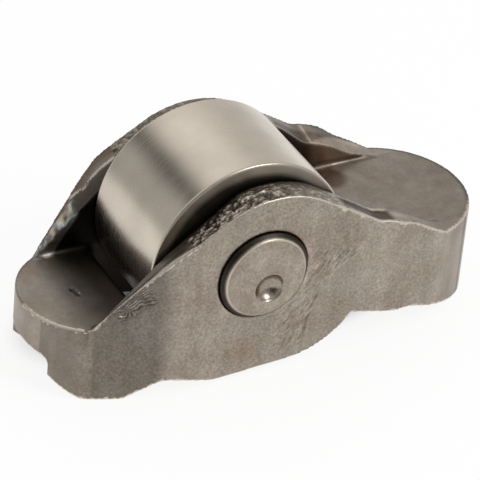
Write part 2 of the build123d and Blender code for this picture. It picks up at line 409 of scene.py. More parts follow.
def refine_marks(mesh):
    """Divides the faces that carry the marks of forming, so the marks are real shape."""
    refined = bmesh.new()
    refined.from_mesh(mesh)
    for finest in (False, True):
        refined.faces.ensure_lookup_table()
        refined.normal_update()
        centres = np.array([face.calc_center_median() for face in refined.faces])
        normals = np.array([face.normal for face in refined.faces])
        places = (centres - np.array(AXLE_CENTRE)) / MM
        zones = forming_zones(places, normals)
        marked = (zones["patch"] > 0.05) | (zones["beside"] > (0.5 if finest else 0.1))
        marked |= nick_depth(places) > 0.01
        if not finest:
            marked |= (zones["crown"] > 0.3) | (zones["far_ramp"] > 0.2)
            marked |= (np.abs(zones["distance"]) < 0.5) & (zones["outside"] > 0.5) & (
                places[:, 2] < 0.5
            )
        chosen = [refined.faces[i] for i in np.flatnonzero(marked)]
        edges = list({edge for face in chosen for edge in face.edges})
        bmesh.ops.subdivide_edges(refined, edges=edges, cuts=1, use_grid_fill=True)
    bmesh.ops.triangulate(refined, faces=[face for face in refined.faces if len(face.verts) > 4])
    refined.to_mesh(mesh)
    refined.free()
    mesh.update()


def nick_depth(points):
    """Depth, from 0 to 1, of the short nick in the top of the valve end."""
    start, line = NICK[0], NICK[1] - NICK[0]
    part = np.clip((points[:, :2] - start) @ line / (line @ line), 0, 1)
    away = np.hypot(*(points[:, :2] - start - part[:, None] * line).T)
    return rise(0.2, 0.05, away) * (np.abs(points[:, 2] - VALVE_PLATE) < 0.5)


def shape_marks(mesh, settings):
    """Moves the points by the marks of forming and gives how high each mark stands."""
    points, normals, zones = read_arm(mesh)
    x, y, z = points.T
    side = np.abs(y)

    torn = np.stack([(x + 0.7 * side) / 0.42, y / 0.22, z / 0.38], axis=1)
    height = zones["crown"] * (grain(torn, 3) + 0.8 * grain(torn * 1.9, 4) - 0.3)
    ribs = np.stack([(x - 0.6 * y) / 0.45, (y + 0.6 * x) / 1.3, z / 0.8], axis=1)
    height += zones["far_ramp"] * 0.8 * grain(ribs, 5)
    height *= settings.grain_depth / MM

    wrinkle = settings.wrinkle_depth / MM
    warp = grain(points / (0.7, 2, 0.7), 7)
    broken = 0.45 + 0.55 * rise(-0.4, 0.3, grain(points / (0.8, 1, 0.5), 8))
    wave = np.cos(2 * math.pi * (zones["across"] / 0.34 + 1.2 * warp))
    height += zones["patch"] * broken * wrinkle * (wave - 0.3)
    lean = np.stack([(x * 0.83 - z * 0.56) / 0.27, y / 2, (z * 0.83 + x * 0.56) / 0.9], axis=1)
    height += zones["beside"] * wrinkle * (grain(lean, 11) + 0.7 * grain(lean * 1.9, 12) + 0.2)
    height += zones["streaks"] * wrinkle * 0.5 * grain(points / (0.4, 2, 1.8), 13)
    height += zones["dimples"] * wrinkle * 0.6 * grain(points / (0.55, 0.55, 0.6), 17)

    crease = settings.crease_depth / MM
    distance = zones["distance"]
    down = rise(1.4, -0.6, z) * zones["outside"]
    height -= rise(-1, -4, z) * down * crease * np.exp(-((distance / 0.13) ** 2))
    height -= 0.16 * nick_depth(points)

    lift = height - down * crease * band(distance, 0, 0.5, 1.5, 5.5)
    lift += zones["outside"] * 0.012 * grain(points / 0.8, 21)
    lift += rise(6.6, 7.0, side) * 0.012 * grain(points / 3.6, 19)
    lift *= rise(0.2, 0.7, np.hypot(x, z) - AXLE_RADIUS / MM)
    points += normals * lift[:, None]

    # The pivot-side wall tops fall inwards, the near one far less than the far one
    top = np.interp(
        x, [10, 12.7, 13.8, 15.03, 16.2, 17.2, 21.4],
        [4.78, 3.16, 2.95, 2.55, 2.07, 1.5, PIVOT_PLATE],
    )
    inwards = inwardness(x, side)
    start = np.interp(x, [10.2, 11.6, 13.2, 17.2], [0, 0.4, 0.85, 1])
    room = np.maximum(top - PIVOT_PLATE, 0)
    fall = inwards**0.8 * np.minimum(start * settings.inner_fall / MM, 0.5 * room)
    fall *= np.where(y < 0, 0.25, 1) * np.clip((z - PIVOT_PLATE) / np.maximum(room, 0.1), 0, 1)
    points[:, 2] -= fall * (side > 6.0) * (x > 10) * (z > PIVOT_PLATE)
    points[:, 2] -= 0.16 * near_strip(x, y, inwards) * zones["wall_top"]
    # The near wall's outer top edge stands a little higher over the valve ramp
    raised = band(x, -20.5, -18.4, -10.5, -8.6) * (0.28 + 0.3 * rise(-16.5, -18.2, x))
    points[:, 2] += raised * (y < 0) * rise(0.6, 0.0, inwards) * rise(-6.5, -4.0, z)
    write_points(mesh, points * MM + np.array(AXLE_CENTRE))
    return height


def mark_attributes(mesh, height, settings):
    """Stores what the steel's material reads: edges bright from wear and painted highlight, tone
    with painted light and shade, blueing, rusting mixed with painted shade, and skin.
    """
    points, normals, zones = read_arm(mesh)
    outside, wall_top, crown = zones["outside"], zones["wall_top"], zones["crown"]
    x, y, z = points.T
    side = np.abs(y)
    near, far = y < 0, y > 0
    inwards = inwardness(x, side)
    gap = np.hypot(x, z) - ROLLER_RADIUS / MM
    spots = grain(points / 0.9, 31)
    fine = grain(points / 0.35, 35)
    # How high the point stands, as a share of the grain's and of the wrinkles' depth
    torn = height / (max(settings.grain_depth / MM, 0.01) * np.maximum(crown, 0.05))
    wrinkled = height / max(settings.wrinkle_depth / MM, 0.01)

    # Edges bright from wear, and painted highlights: where the surface bulges, painted brighter
    # towards the light and dull on the far side
    bulge = np.einsum("ij,ij->i", points - neighbour_mean(mesh, points), normals)
    edge = rise(0.006, 0.024, bulge)
    for name in ("crown", "patch", "beside"):
        edge = edge * rise(0.3, 0.1, zones[name])
    towards = LIT_FROM[0] * normals[:, 0] + LIT_FROM[1] * normals[:, 1]
    worn_and_highlight = edge * (0.8 + 0.2 * rise(-0.6, 0.2, spots)) * rise(-0.15, 0.1, towards)
    worn_and_highlight = worn_and_highlight * (0.3 + 0.7 * rise(3.0, 8.0, gap + (side > 6.6) * 9)) * np.where(far, 0.35, 1)
    # Painted highlight lines along the near wall's outer top edge, and painted highlights on the
    # high points of the near crown's grain
    near_top = wall_top * near
    ramp_edge = near_top * band(x, -19.0, -18.0, -8.6, -7.6)
    pivot_edge = near_top * band(x, 7.0, 8.2, 14.3, 14.9)
    worn_and_highlight = np.maximum.reduce([
        worn_and_highlight,
        0.75 * ramp_edge * rise(0.3, 0.12, inwards + 0.08 * fine),
        0.8 * pivot_edge * rise(0.14, 0.04, inwards + 0.03 * fine),
        crown * near * rise(0.2, 0.65, torn),
    ])

    # Painted shade in the hollows of the forming marks and painted highlight on their raised
    # parts; on the near crown also brighter towards the valve end
    tone = 1.06 + 0.3 * np.clip(wrinkled, -1.5, 1.0) + 0.05 * spots
    lift = 0.22 * rise(4.0, 0.0, x) + 0.4 * rise(-0.5, -3.5, x)
    tone *= 1 + crown * near * np.clip(1.8 * torn + lift, -0.45, 0.95)
    # Wall tops darker towards their inner edge beside the roller
    tone *= 1 - 0.5 * wall_top * rise(8.3, 6.8, side) * band(x, -9.0, -5.0, 3, 11)
    for wall, low, high, places, tones in WALL_TOPS:
        along = band(x, low - 0.3, low + 0.3, high - 0.3, high + 0.3)
        along = along * np.where(x > 0, rise(-0.93, -0.5, z), 1)
        across = np.interp(inwards + 0.04 * fine, places, tones)
        tone *= 1 + wall_top * (y * wall > 0) * along * (across - 1)
    # Painted shade darkens the shallow strip on the near wall's top
    strip = wall_top * near_strip(x, y, inwards)
    tone *= 1 - strip * (0.7 - 0.16 * fine + 0.1 * rise(13.6, 12.4, x))
    far_top = wall_top * far
    mottled = far_top * band(x, 9.5, 10.5, 15.2, 16.4) * band(inwards, 0.3, 0.46, 0.8, 0.96)
    speck = grain(points / 0.45, 39)
    tone *= 1 - mottled * (0.12 + 0.36 * speck + 0.42 * rise(13.6, 12.6, x))
    tone *= 1 - 0.45 * far_top * band(x, 9.0, 10.5, 13.4, 14.0)
    tone *= 1 + far_top * rise(13.3, 14.0, x) * (0.1 + 0.62 * rise(16.2, 14.6, x))
    # Painted shade on edges that face away from the light
    tone *= 1 - 0.5 * edge * rise(0.1, -0.2, towards)
    # The wrinkle patch darker overall, with painted shade in its valleys and painted highlight on
    # its crests
    tone *= 1 - zones["patch"] * (0.26 - 0.3 * np.clip(wrinkled, -1, 1))
    for middle, width, strength in PAINTED_HIGHLIGHT_BANDS:
        tone *= 1 + outside * strength * np.exp(-(((x - middle) / width) ** 2))
    # Painted shade on the upright faces of the valve end
    upright = rise(0.5, 0.3, np.abs(normals[:, 2])) * (side > 3)
    tone *= 1 - 0.44 * upright * band(x, -16.9, -16.4, -11.0, -9.2)
    tone *= 1 - 0.29 * upright * rise(-16.4, -16.9, x)
    # Painted shade on the pivot nose's top outer edge where it faces away from the light
    nose_edge = rise(8.15, 8.45, np.hypot(x - NOSE_CENTRE, y))
    faces_away = rise(2.0, -2.0, LIT_FROM[0] * (x - NOSE_CENTRE) + LIT_FROM[1] * y)
    tone *= 1 - 0.6 * nose_edge * faces_away * (x > 14) * (z > -1.3)
    # A painted highlight ring just outside the bore on the outer sides
    bore_highlight = np.exp(-(((np.hypot(x, z) - AXLE_RADIUS / MM - 0.28) / 0.13) ** 2))
    tone *= 1 + 0.3 * (side > 9.2) * bore_highlight * rise(-0.7, 0.4, spots)

    # Inside: painted shade below the roller, in the inner corners of both ends and on the inner
    # walls, and painted shade on the flat tops of the two ends
    between = (side < 6.6) & (z < 8.5)
    shade = np.exp(-0.34 * np.clip(8.2 - gap, 0, None))
    inner_wall = between & (np.abs(normals[:, 1]) > 0.7) & (x > 8)
    for where, level in (
        (between & (x < 0), np.maximum(shade, 0.17)),
        (between & (side > 5.7) & (z > VALVE_PLATE + 0.01) & (x < -8), 0.45),
        (between & (side > 5.8) & (z > PIVOT_PLATE + 0.01) & (z < -0.2) & (x > 8), 0.7),
        (between & (x >= 0), 0.4 + 0.6 * rise(2.5, 4.0, gap)),
        (inner_wall, 0.38 + 0.2 * rise(11, 16, x)),
    ):
        tone *= np.where(where, level, 1)
    flat_top = rise(0.7, 0.9, normals[:, 2]) * (side < 6.6)
    tone *= 1 - flat_top * (0.16 * (x > 10) + 0.1 * (x < -10))
    # A painted shadow patch on the pivot plate beside the far wall and the roller
    shadow_patch = np.hypot((x - 15.0) / 1.9, (y - 4.6) / 2.1) + 0.2 * grain(points / 0.8, 41)
    shadow_patch = rise(1.1, 0.55, shadow_patch) * flat_top * (x > 8)
    tone *= 1 - shadow_patch * (0.4 + 0.12 * fine)

    # The far wall over the valve ramp: brown outer band, a painted highlight line, painted shade
    # on the fall inside it, blued patch
    ramp_top = far_top * rise(-7.2, -8.0, x)
    line = np.interp(x, [-13.2, -12.4, -12.2, -11.0, -8.0], [0.27, 0.15, 0.16, 0.42, 0.45])
    upper = rise(-12.7, -12.1, x)
    tone *= 1 - ramp_top * upper * rise(line, line + 0.07, inwards) * (0.6 + 0.2 * inwards)
    tone *= 1 - ramp_top * rise(line, line - 0.06, inwards) * (0.3 + 0.14 * spots)
    highlight_line = np.exp(-(((inwards - line) / 0.045) ** 2)) * ramp_top * upper
    worn_and_highlight = np.maximum(worn_and_highlight, highlight_line)
    tone = np.maximum(tone, 1.4 * highlight_line)
    below = 0.93 * (x + 12.03) - z - 0.38
    inner = far * (side < 6.65) * (side > 5.9) * band(x, -17, -16.2, -12.5, -11.9)
    inner = inner * rise(0.2, -0.3, below - 0.6 * np.clip(-12.5 - x, 0, 2))
    tone = tone + inner * (0.75 - tone)
    blued = np.maximum(zones["far_ramp"], inner)
    tone *= 1 + blued * np.clip(0.1 + 0.9 * grain(points / 0.42, 37), -0.6, 0.6)

    # Rusting brown, mixed with painted shade beside the roller, on the shaded strip and on the
    # painted shadow patch
    rust_and_shade = np.maximum.reduce([
        np.where(between & (x >= 0) & (z > -3), 0.7 * rise(4.6, 2.8, gap), 0),
        0.7 * edge * rise(0.1, -0.4, normals[:, 2]),
        0.3 * rise(2.8, 0.3, np.hypot(x + 1.4, z + 8.6)) * outside,
        0.3 * rise(2.0, 0.4, np.hypot(x + 18.5, y - 5.3)) * (z > -4.5),
        0.7 * strip,
        0.6 * shadow_patch,
        0.5 * ramp_top * rise(0.34, 0.2, inwards),
        np.where(inner_wall, 0.5, 0.35 * mottled),
    ])
    stored = {
        "worn_edge_and_highlight": worn_and_highlight,
        "tone": np.clip(tone, 0.05, 2.0),
        "rust_and_shade": rust_and_shade,
        "blued": blued * rise(-0.6, 0.3, grain(points / 0.8, 33)),
        "skin": 0.35 + 0.65 * np.maximum(outside, crown),
    }
    for name, values in stored.items():
        attribute = mesh.attributes.new(name, "FLOAT", "POINT")
        attribute.data.foreach_set("value", values.astype(np.float32))


def formed_steel(settings):
    """Formed and hardened steel: tempered brown-grey, tumbled to a satin, bright at edges."""
    material, node = new_material("formed_hardened_steel")
    place = node("ShaderNodeTexCoord").outputs["Object"]
    marks = {
        name: node("ShaderNodeAttribute", attribute_name=name).outputs["Fac"]
        for name in ("worn_edge_and_highlight", "tone", "rust_and_shade", "blued", "skin")
    }
    # Temper patches some 5 mm across, the paler ones a little smoother
    patches, roughness = noise_level(node, place, 0.46, 0.38, 210.0, detail=4.0, roughness=0.65)
    temper = node(
        "ShaderNodeValToRGB", {"Fac": patches},
        stops=[(0.3, settings.brown), (0.72, linear("A39B91")), (0.5, settings.colour)],
    )
    # Speckle of the tumbling, about 0.25 mm, strongest on the outer sides
    speckle, part = noise_level(node, place, -0.32, 0.25, 3600.0, detail=3.0, roughness=0.7)
    speckle_tone = node(
        "ShaderNodeMath", {0: part, 1: marks["skin"], 2: 1.0}, operation="MULTIPLY_ADD"
    )
    # Soft upright streaks that the forming tools left, about 1.5 mm apart
    drawn = node("ShaderNodeVectorMath", {0: place, 1: (1.0, 1.0, 0.12)}, operation="MULTIPLY")
    _, level = noise_level(node, drawn, 0.9, 1.09, 620.0)
    for factor in (speckle_tone, marks["tone"]):
        level = node("ShaderNodeMath", {0: level, 1: factor}, operation="MULTIPLY")
    # Blue temper on the far ramp; rusting in the corners mixed with painted shade and the painted
    # shadow patch; bright metal at edges from wear and painted highlight
    colour = temper
    for mark, tint in (("blued", "A8ADAD"), ("rust_and_shade", "85664F")):
        inputs = {"Factor": marks[mark], MIX_A: colour, MIX_B: (*linear(tint), 1)}
        colour = node("ShaderNodeMix", inputs, data_type="RGBA")
    toned = node("ShaderNodeVectorMath", {0: colour, "Scale": level}, operation="SCALE")
    line = node(
        "ShaderNodeMapRange", {"Value": marks["worn_edge_and_highlight"], "From Min": 0.25, "From Max": 0.85},
        interpolation_type="SMOOTHSTEP",
    )
    edged = node(
        "ShaderNodeMix", {"Factor": line, MIX_A: toned, MIX_B: (*linear("D3C9BB"), 1)},
        data_type="RGBA",
    )
    # Fine grit that the tumbling leaves, and the broader unevenness of the skin
    grit = node("ShaderNodeBump", {"Height": speckle, "Strength": 0.4, "Distance": 0.02 * MM})
    hammered = node(
        "ShaderNodeTexNoise", {"Vector": place, "Scale": 1000.0, "Detail": 2.0, "Roughness": 0.5}
    )
    uneven = node(
        "ShaderNodeBump",
        {"Height": hammered, "Strength": 0.4, "Distance": 0.05 * MM, "Normal": grit},
    )
    finish_metal(node, {"Base Color": edged, "Roughness": roughness, "Normal": uneven})
    return material


class ROCKER_OT_arm(bpy.types.Operator):
    """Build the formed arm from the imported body, with the marks that forming left on it"""

    bl_idname = "rocker.arm"
    bl_label = "Formed arm"

    def execute(self, context):
        settings = context.scene.rocker_arm
        mesh = fine_arm_mesh(settings.mesh_step, settings.softening)
        refine_marks(mesh)
        height = shape_marks(mesh, settings)
        mark_attributes(mesh, height, settings)
        mesh.shade_smooth()
        place_piece("formed_arm", mesh, formed_steel(settings), "arm", "formed_steel", "body")
        return {"FINISHED"}


# ---- Turned pieces: one Geometry Nodes tree spins a profile round the axle's line ----


def profile_mesh(name, outline, closed):
    """A mesh of edges along an outline of (distance from the axis, place along it)."""
    mesh = bpy.data.meshes.new(name)
    last = len(outline)
    edges = [(i, i + 1) for i in range(last - 1)]
    if closed:
        edges.append((last - 1, 0))
    mesh.from_pydata([(radius, along, 0) for radius, along in outline], edges, [])
    return mesh


def new_geometry_tree(name, inputs):
    """A Geometry Nodes tree with named inputs, add_node for it, and its inputs' sockets."""
    tree = bpy.data.node_groups.new(name, "GeometryNodeTree")
    named = {"Geometry": "NodeSocketGeometry", **inputs, "Material": "NodeSocketMaterial"}
    for label, kind in named.items():
        tree.interface.new_socket(label, in_out="INPUT", socket_type=kind)
    tree.interface.new_socket("Geometry", in_out="OUTPUT", socket_type="NodeSocketGeometry")
    node = partial(add_node, tree)
    return tree, node, node("NodeGroupInput").outputs


def finish_geometry(node, geometry, material):
    """Ends a Geometry Nodes tree: real geometry with its material on it."""
    real = node("GeometryNodeRealizeInstances", {"Geometry": geometry})
    painted = node("GeometryNodeSetMaterial", {"Geometry": real, "Material": material})
    node("NodeGroupOutput", {"Geometry": painted})


def turning_tree():
    """Geometry Nodes: spins the profile of the holder's mesh round +Y and sets a material."""
    tree, node, given = new_geometry_tree(
        "turned_piece",
        {
            "Guide Radius": "NodeSocketFloat", "Steps": "NodeSocketInt",
            "Centre": "NodeSocketVector",
        },
    )
    profile = node("GeometryNodeMeshToCurve", {"Mesh": given["Geometry"]})
    guide = node(
        "GeometryNodeCurvePrimitiveCircle",
        {"Resolution": given["Steps"], "Radius": given["Guide Radius"]},
    )
    spun = node("GeometryNodeCurveToMesh", {"Curve": guide, "Profile Curve": profile})
    closed = node("GeometryNodeMergeByDistance", {"Geometry": spun, "Distance": 1e-7})
    placed = node(
        "GeometryNodeTransform",
        {"Geometry": closed, "Translation": given["Centre"], "Rotation": (math.pi / 2, 0, 0)},
    )
    finish_geometry(node, placed, given["Material"])
    return tree


def set_inputs(modifier, values):
    """Sets a Geometry Nodes modifier's inputs by their names."""
    for item in modifier.node_group.interface.items_tree:
        if item.in_out == "INPUT" and item.name in values:
            modifier[item.identifier] = values[item.name]


def turned_mesh(name, outline, closed, steps, centre, material):
    """Spins an outline round a line along +Y through the centre into a closed mesh."""
    guide = 1 * MM
    shifted = [(radius - guide, along) for radius, along in outline]
    holder = holder_of(profile_mesh(name, shifted, closed))
    modifier = holder.modifiers.new("Turned piece", "NODES")
    modifier.node_group = bpy.data.node_groups.get("turned_piece") or turning_tree()
    values = {"Guide Radius": guide, "Steps": steps, "Centre": tuple(centre), "Material": material}
    set_inputs(modifier, values)
    mesh = evaluated_mesh(holder)
    turned = bmesh.new()
    turned.from_mesh(mesh)
    bmesh.ops.recalc_face_normals(turned, faces=turned.faces)
    turned.to_mesh(mesh)
    turned.free()
    mesh.shade_smooth()
    return mesh


def spaced(start, end, step):
    """Places from start to end, one step or less apart, without the last."""
    count = max(1, math.ceil(abs(end - start) / step))
    return [start + (end - start) * i / count for i in range(count)]


def rounded(corner, from_angle, to_angle, radius, near, steps=6):
    """Points round a corner's arc, and one near it on each straight side.

    The corner is the arc's centre, and the angles are in degrees.
    """
    way = math.copysign(near, to_angle - from_angle)
    points = []
    for i in range(steps + 1):
        angle = math.radians(from_angle + (to_angle - from_angle) * i / steps)
        out, up = math.cos(angle), math.sin(angle)
        points.append((corner[0] + radius * out, corner[1] + radius * up))
        if i in (0, steps):
            ahead = way if i else -way
            beside = (points[-1][0] - ahead * up, points[-1][1] + ahead * out)
            points.insert(len(points) if i else 0, beside)
    return points


# ---- Roller ----


class RollerSettings(bpy.types.PropertyGroup):
    edge_round: bpy.props.FloatProperty(
        name="Edge round", description="Radius of the roller's outer and inner edges",
        default=0.25 * MM, min=0.05 * MM, max=1 * MM, precision=5, unit="LENGTH",
    )
    steps: bpy.props.IntProperty(
        name="Steps", description="Faces round the roller", default=256, min=32, max=512,
    )
    colour: bpy.props.FloatVectorProperty(
        name="Bearing steel", description="Colour of the ground bearing steel",
        subtype="COLOR", default=linear("D2C8BA"), min=0, max=1,
    )


def roller_outline(settings):
    """The ring's section: ground faces with small rounds, as distance and place."""
    edge = settings.edge_round
    half = ROLLER_WIDTH / 2 - edge
    inner, outer = RACEWAY_RADIUS + edge, ROLLER_RADIUS - edge
    outline = []
    for turn, corner in enumerate(((outer, half), (inner, half), (inner, -half), (outer, -half))):
        outline += rounded(corner, 90 * turn, 90 * turn + 90, edge, 0.04 * MM)
    return outline


def ground_steel(settings):
    """Bearing steel, ground then honed: bright, soft reflections and faint streaks round it."""
    material, node = new_material("ground_bearing_steel")
    place, centred, radius = from_axle(node)
    # Grinding runs round the ring, so its marks are fine along the axle and long around it
    split = node("ShaderNodeSeparateXYZ", {"Vector": centred}).outputs
    turn = node("ShaderNodeMath", {0: split["X"], 1: split["Z"]}, operation="ARCTAN2")
    lane = node("ShaderNodeMath", {0: split["Y"], 1: 2600.0}, operation="MULTIPLY")
    lanes = node("ShaderNodeCombineXYZ", {"X": turn, "Y": lane})
    marks, honed = noise_level(node, lanes, 0.245, 0.29, 1.6, detail=3.0, roughness=0.6)
    _, tone = noise_level(node, place, 0.86, 1.05, 170.0, detail=3.0)
    # The ring's flat sides are only rough ground, duller, and darkened by painted shade: a little
    # next to the running face, near black further in
    out = node("ShaderNodeMath", {0: split["Y"]}, operation="ABSOLUTE")
    half = ROLLER_WIDTH / 2
    side = node(
        "ShaderNodeMapRange",
        {"Value": out, "From Min": half - 0.1 * MM, "From Max": half - 0.01 * MM},
    )
    side_shade = node(
        "ShaderNodeMapRange",
        {
            "Value": radius, "From Min": ROLLER_RADIUS - 1.5 * MM,
            "From Max": ROLLER_RADIUS - 0.9 * MM, "To Min": 0.12, "To Max": 0.62,
        },
    )
    dimmed = node("ShaderNodeMapRange", {"Value": side, "To Min": 1.0, "To Max": side_shade})
    tone = node("ShaderNodeMath", {0: tone, 1: dimmed}, operation="MULTIPLY")
    base = node(
        "ShaderNodeVectorMath", {0: tuple(settings.colour), "Scale": tone}, operation="SCALE"
    )
    roughness = node("ShaderNodeMath", {0: side, 1: 0.14, 2: honed}, operation="MULTIPLY_ADD")
    bump = node("ShaderNodeBump", {"Height": marks, "Strength": 0.07, "Distance": 0.01 * MM})
    finish_metal(node, {"Base Color": base, "Roughness": roughness, "Normal": bump})
    return material


class ROCKER_OT_roller(bpy.types.Operator):
    """Spin the roller ring that the cam runs on"""

    bl_idname = "rocker.roller"
    bl_label = "Roller"

    def execute(self, context):
        settings = context.scene.rocker_roller
        material = ground_steel(settings)
        mesh = turned_mesh(
            "roller_ring", roller_outline(settings), True, settings.steps, AXLE_CENTRE, material
        )
        place_piece("roller_ring", mesh, material, "roller", "ground_steel", "roller")
        return {"FINISHED"}


# ---- Axle ----


class AxleSettings(bpy.types.PropertyGroup):
    edge_break: bpy.props.FloatProperty(
        name="Edge break", description="Size of the chamfer round the axle's ends",
        default=0.5 * MM, min=0.05 * MM, max=1 * MM, precision=5, unit="LENGTH",
    )
    steps: bpy.props.IntProperty(
        name="Steps", description="Faces round the axle", default=160, min=32, max=512,
    )
    punch_radius: bpy.props.FloatProperty(
        name="Punch mark", description="Radius of the punch mark in the near end",
        default=1.56 * MM, min=0, max=2 * MM, precision=5, unit="LENGTH",
    )
    punch_depth: bpy.props.FloatProperty(
        name="Punch depth", description="Depth of the punch mark",
        default=0.92 * MM, min=0, max=2 * MM, precision=5, unit="LENGTH",
    )
    punch_below: bpy.props.FloatProperty(
        name="Punch below axis", description="How far the punch mark is below the axis",
        default=1.3 * MM, min=-3 * MM, max=3 * MM, precision=5, unit="LENGTH",
    )
    punch_along: bpy.props.FloatProperty(
        name="Punch along", description="How far the punch mark is towards the pivot",
        default=0.45 * MM, min=-3 * MM, max=3 * MM, precision=5, unit="LENGTH",
    )
    colour: bpy.props.FloatVectorProperty(
        name="Axle steel", description="Colour of the axle's ends",
        subtype="COLOR", default=linear("A59A8D"), min=0, max=1,
    )


def axle_outline(settings):
    """Half the pin's section, from the middle of one end to the middle of the other."""
    edge = settings.edge_break
    half = AXLE_LENGTH / 2
    near = 0.05 * MM
    face = [(radius, half) for radius in spaced(0, AXLE_RADIUS - edge - near, 0.09 * MM)]
    face += [
        (AXLE_RADIUS - edge - near, half),
        (AXLE_RADIUS - edge, half - 0.3 * near),
        (AXLE_RADIUS - edge + near, half - 1.1 * near),
        (AXLE_RADIUS - near, half - edge + near),
        (AXLE_RADIUS, half - edge - 0.4 * near),
        (AXLE_RADIUS, half - edge - 2 * near),
    ]
    return face + [(radius, -along) for radius, along in reversed(face)]


def punch_end(mesh, settings):
    """Presses the round punch mark into the near end of the axle."""
    points = read_vectors(mesh)
    end = AXLE_CENTRE.y - AXLE_LENGTH / 2
    radius, depth = settings.punch_radius, settings.punch_depth
    sphere = (radius**2 + depth**2) / (2 * depth)
    across = np.hypot(
        points[:, 0] - AXLE_CENTRE.x - settings.punch_along,
        points[:, 2] - AXLE_CENTRE.z + settings.punch_below,
    )
    on_end = np.abs(points[:, 1] - end) < 0.01 * MM
    pressed = np.sqrt(np.maximum(sphere**2 - across**2, 0)) - (sphere - depth)
    lip_height, lip_width = 0.06 * MM, 0.16 * MM
    lip = lip_height * np.exp(-(((across - radius * 1.05) / lip_width) ** 2))
    points[:, 1] += on_end * (np.maximum(pressed, 0) - lip * (across < radius * 1.6))
    write_points(mesh, points)


def axle_steel(settings):
    """Hardened pin steel: faced on a lathe, matt, with a brighter burnished punch mark."""
    material, node = new_material("hardened_pin_steel")
    place, centred, radius = from_axle(node)
    cloud = node("ShaderNodeTexNoise", {"Vector": place, "Scale": 420.0, "Detail": 4.0})
    tones = node(
        "ShaderNodeValToRGB", {"Fac": cloud},
        stops=[(0.35, linear("9A8E80")), (0.75, linear("B9B0A4")), (0.55, settings.colour)],
    )
    speckle, speckle_tone = noise_level(node, place, 0.8, 1.15, 4200.0)
    # The punch mark is burnished, so it is far smoother than the faced end around it
    mark = (
        AXLE_CENTRE.x + settings.punch_along,
        AXLE_CENTRE.y - AXLE_LENGTH / 2,
        AXLE_CENTRE.z - settings.punch_below,
    )
    away = node("ShaderNodeVectorMath", {0: place, 1: mark}, operation="DISTANCE")
    roughness = node(
        "ShaderNodeMapRange",
        {
            "Value": away, "From Min": settings.punch_radius * 0.9,
            "From Max": settings.punch_radius * 1.15, "To Min": 0.25, "To Max": 0.42,
        },
    )
    # Painted shade darkens the corner between the chamfer and the bore
    edge = AXLE_RADIUS - settings.edge_break
    groove_shade = node(
        "ShaderNodeMapRange",
        {
            "Value": radius, "From Min": edge + 0.03 * MM, "From Max": edge + 0.24 * MM,
            "To Min": 1.0, "To Max": 0.12,
        },
    )
    level = node("ShaderNodeMath", {0: groove_shade, 1: speckle_tone}, operation="MULTIPLY")
    toned = node("ShaderNodeVectorMath", {0: tones, "Scale": level}, operation="SCALE")
    # A painted highlight brightens the corner between face and chamfer in places, most on its
    # upper half
    corner = node("ShaderNodeMath", {0: radius, 1: edge, 2: 0.09 * MM}, operation="COMPARE")
    upwards = node(
        "ShaderNodeVectorMath", {0: centred, 1: (-0.5, 0, 0.87)}, operation="DOT_PRODUCT"
    )
    lit_share = node(
        "ShaderNodeMapRange",
        {
            "Value": upwards, "From Min": -AXLE_RADIUS, "From Max": AXLE_RADIUS,
            "To Min": 0.15, "To Max": 1.0,
        },
    )
    rim_highlight = node("ShaderNodeMath", {0: corner, 1: lit_share}, operation="MULTIPLY")
    base = node(
        "ShaderNodeMix", {"Factor": rim_highlight, MIX_A: toned, MIX_B: (*linear("CDC4B6"), 1)},
        data_type="RGBA",
    )
    bump = node("ShaderNodeBump", {"Height": speckle, "Strength": 0.3, "Distance": 0.015 * MM})
    finish_metal(node, {"Base Color": base, "Roughness": roughness, "Normal": bump})
    return material


class ROCKER_OT_axle(bpy.types.Operator):
    """Spin the axle and press the punch mark into its near end"""

    bl_idname = "rocker.axle"
    bl_label = "Axle"

    def execute(self, context):
        settings = context.scene.rocker_axle
        material = axle_steel(settings)
        mesh = turned_mesh(
            "axle_pin", axle_outline(settings), False, settings.steps, AXLE_CENTRE, material
        )
        punch_end(mesh, settings)
        place_piece("axle_pin", mesh, material, "arm", "axle_steel", "axle")
        return {"FINISHED"}


# ---- Needles ----


class NeedleSettings(bpy.types.PropertyGroup):
    end_round: bpy.props.FloatProperty(
        name="End round", description="Radius of the needles' end edges",
        default=0.35 * MM, min=0.05 * MM, max=0.9 * MM, precision=5, unit="LENGTH",
    )
    steps: bpy.props.IntProperty(
        name="Steps", description="Faces round each needle", default=24, min=8, max=64,
    )


def needle_tree():
    """Geometry Nodes: sets one needle at each point of a circle round the axle."""
    tree, node, given = new_geometry_tree(
        "needle_set",
        {
            "Count": "NodeSocketInt", "Circle Radius": "NodeSocketFloat",
            "Centre": "NodeSocketVector",
        },
    )
    circle = node(
        "GeometryNodeCurvePrimitiveCircle",
        {"Resolution": given["Count"], "Radius": given["Circle Radius"]},
    )
    points = node("GeometryNodeCurveToPoints", {"Curve": circle}, mode="EVALUATED")
    upright = node(
        "GeometryNodeTransform",
        {
            "Geometry": points, "Translation": given["Centre"],
            "Rotation": (math.pi / 2, math.pi / 2, 0),
        },
    )
    needles = node(
        "GeometryNodeInstanceOnPoints", {"Points": upright, "Instance": given["Geometry"]}
    )
    finish_geometry(node, needles, given["Material"])
    return tree


def needle_outline(settings):
    """Half a needle's section, from the middle of one end to the middle of the other."""
    edge = settings.end_round
    half = NEEDLE_LENGTH / 2 - edge
    side = NEEDLE_RADIUS - edge
    above = rounded((side, half), 90, 0, edge, 0.04 * MM, steps=4)
    below = rounded((side, -half), 0, -90, edge, 0.04 * MM, steps=4)
    return [(0, half + edge), *above, *below, (0, -half - edge)]


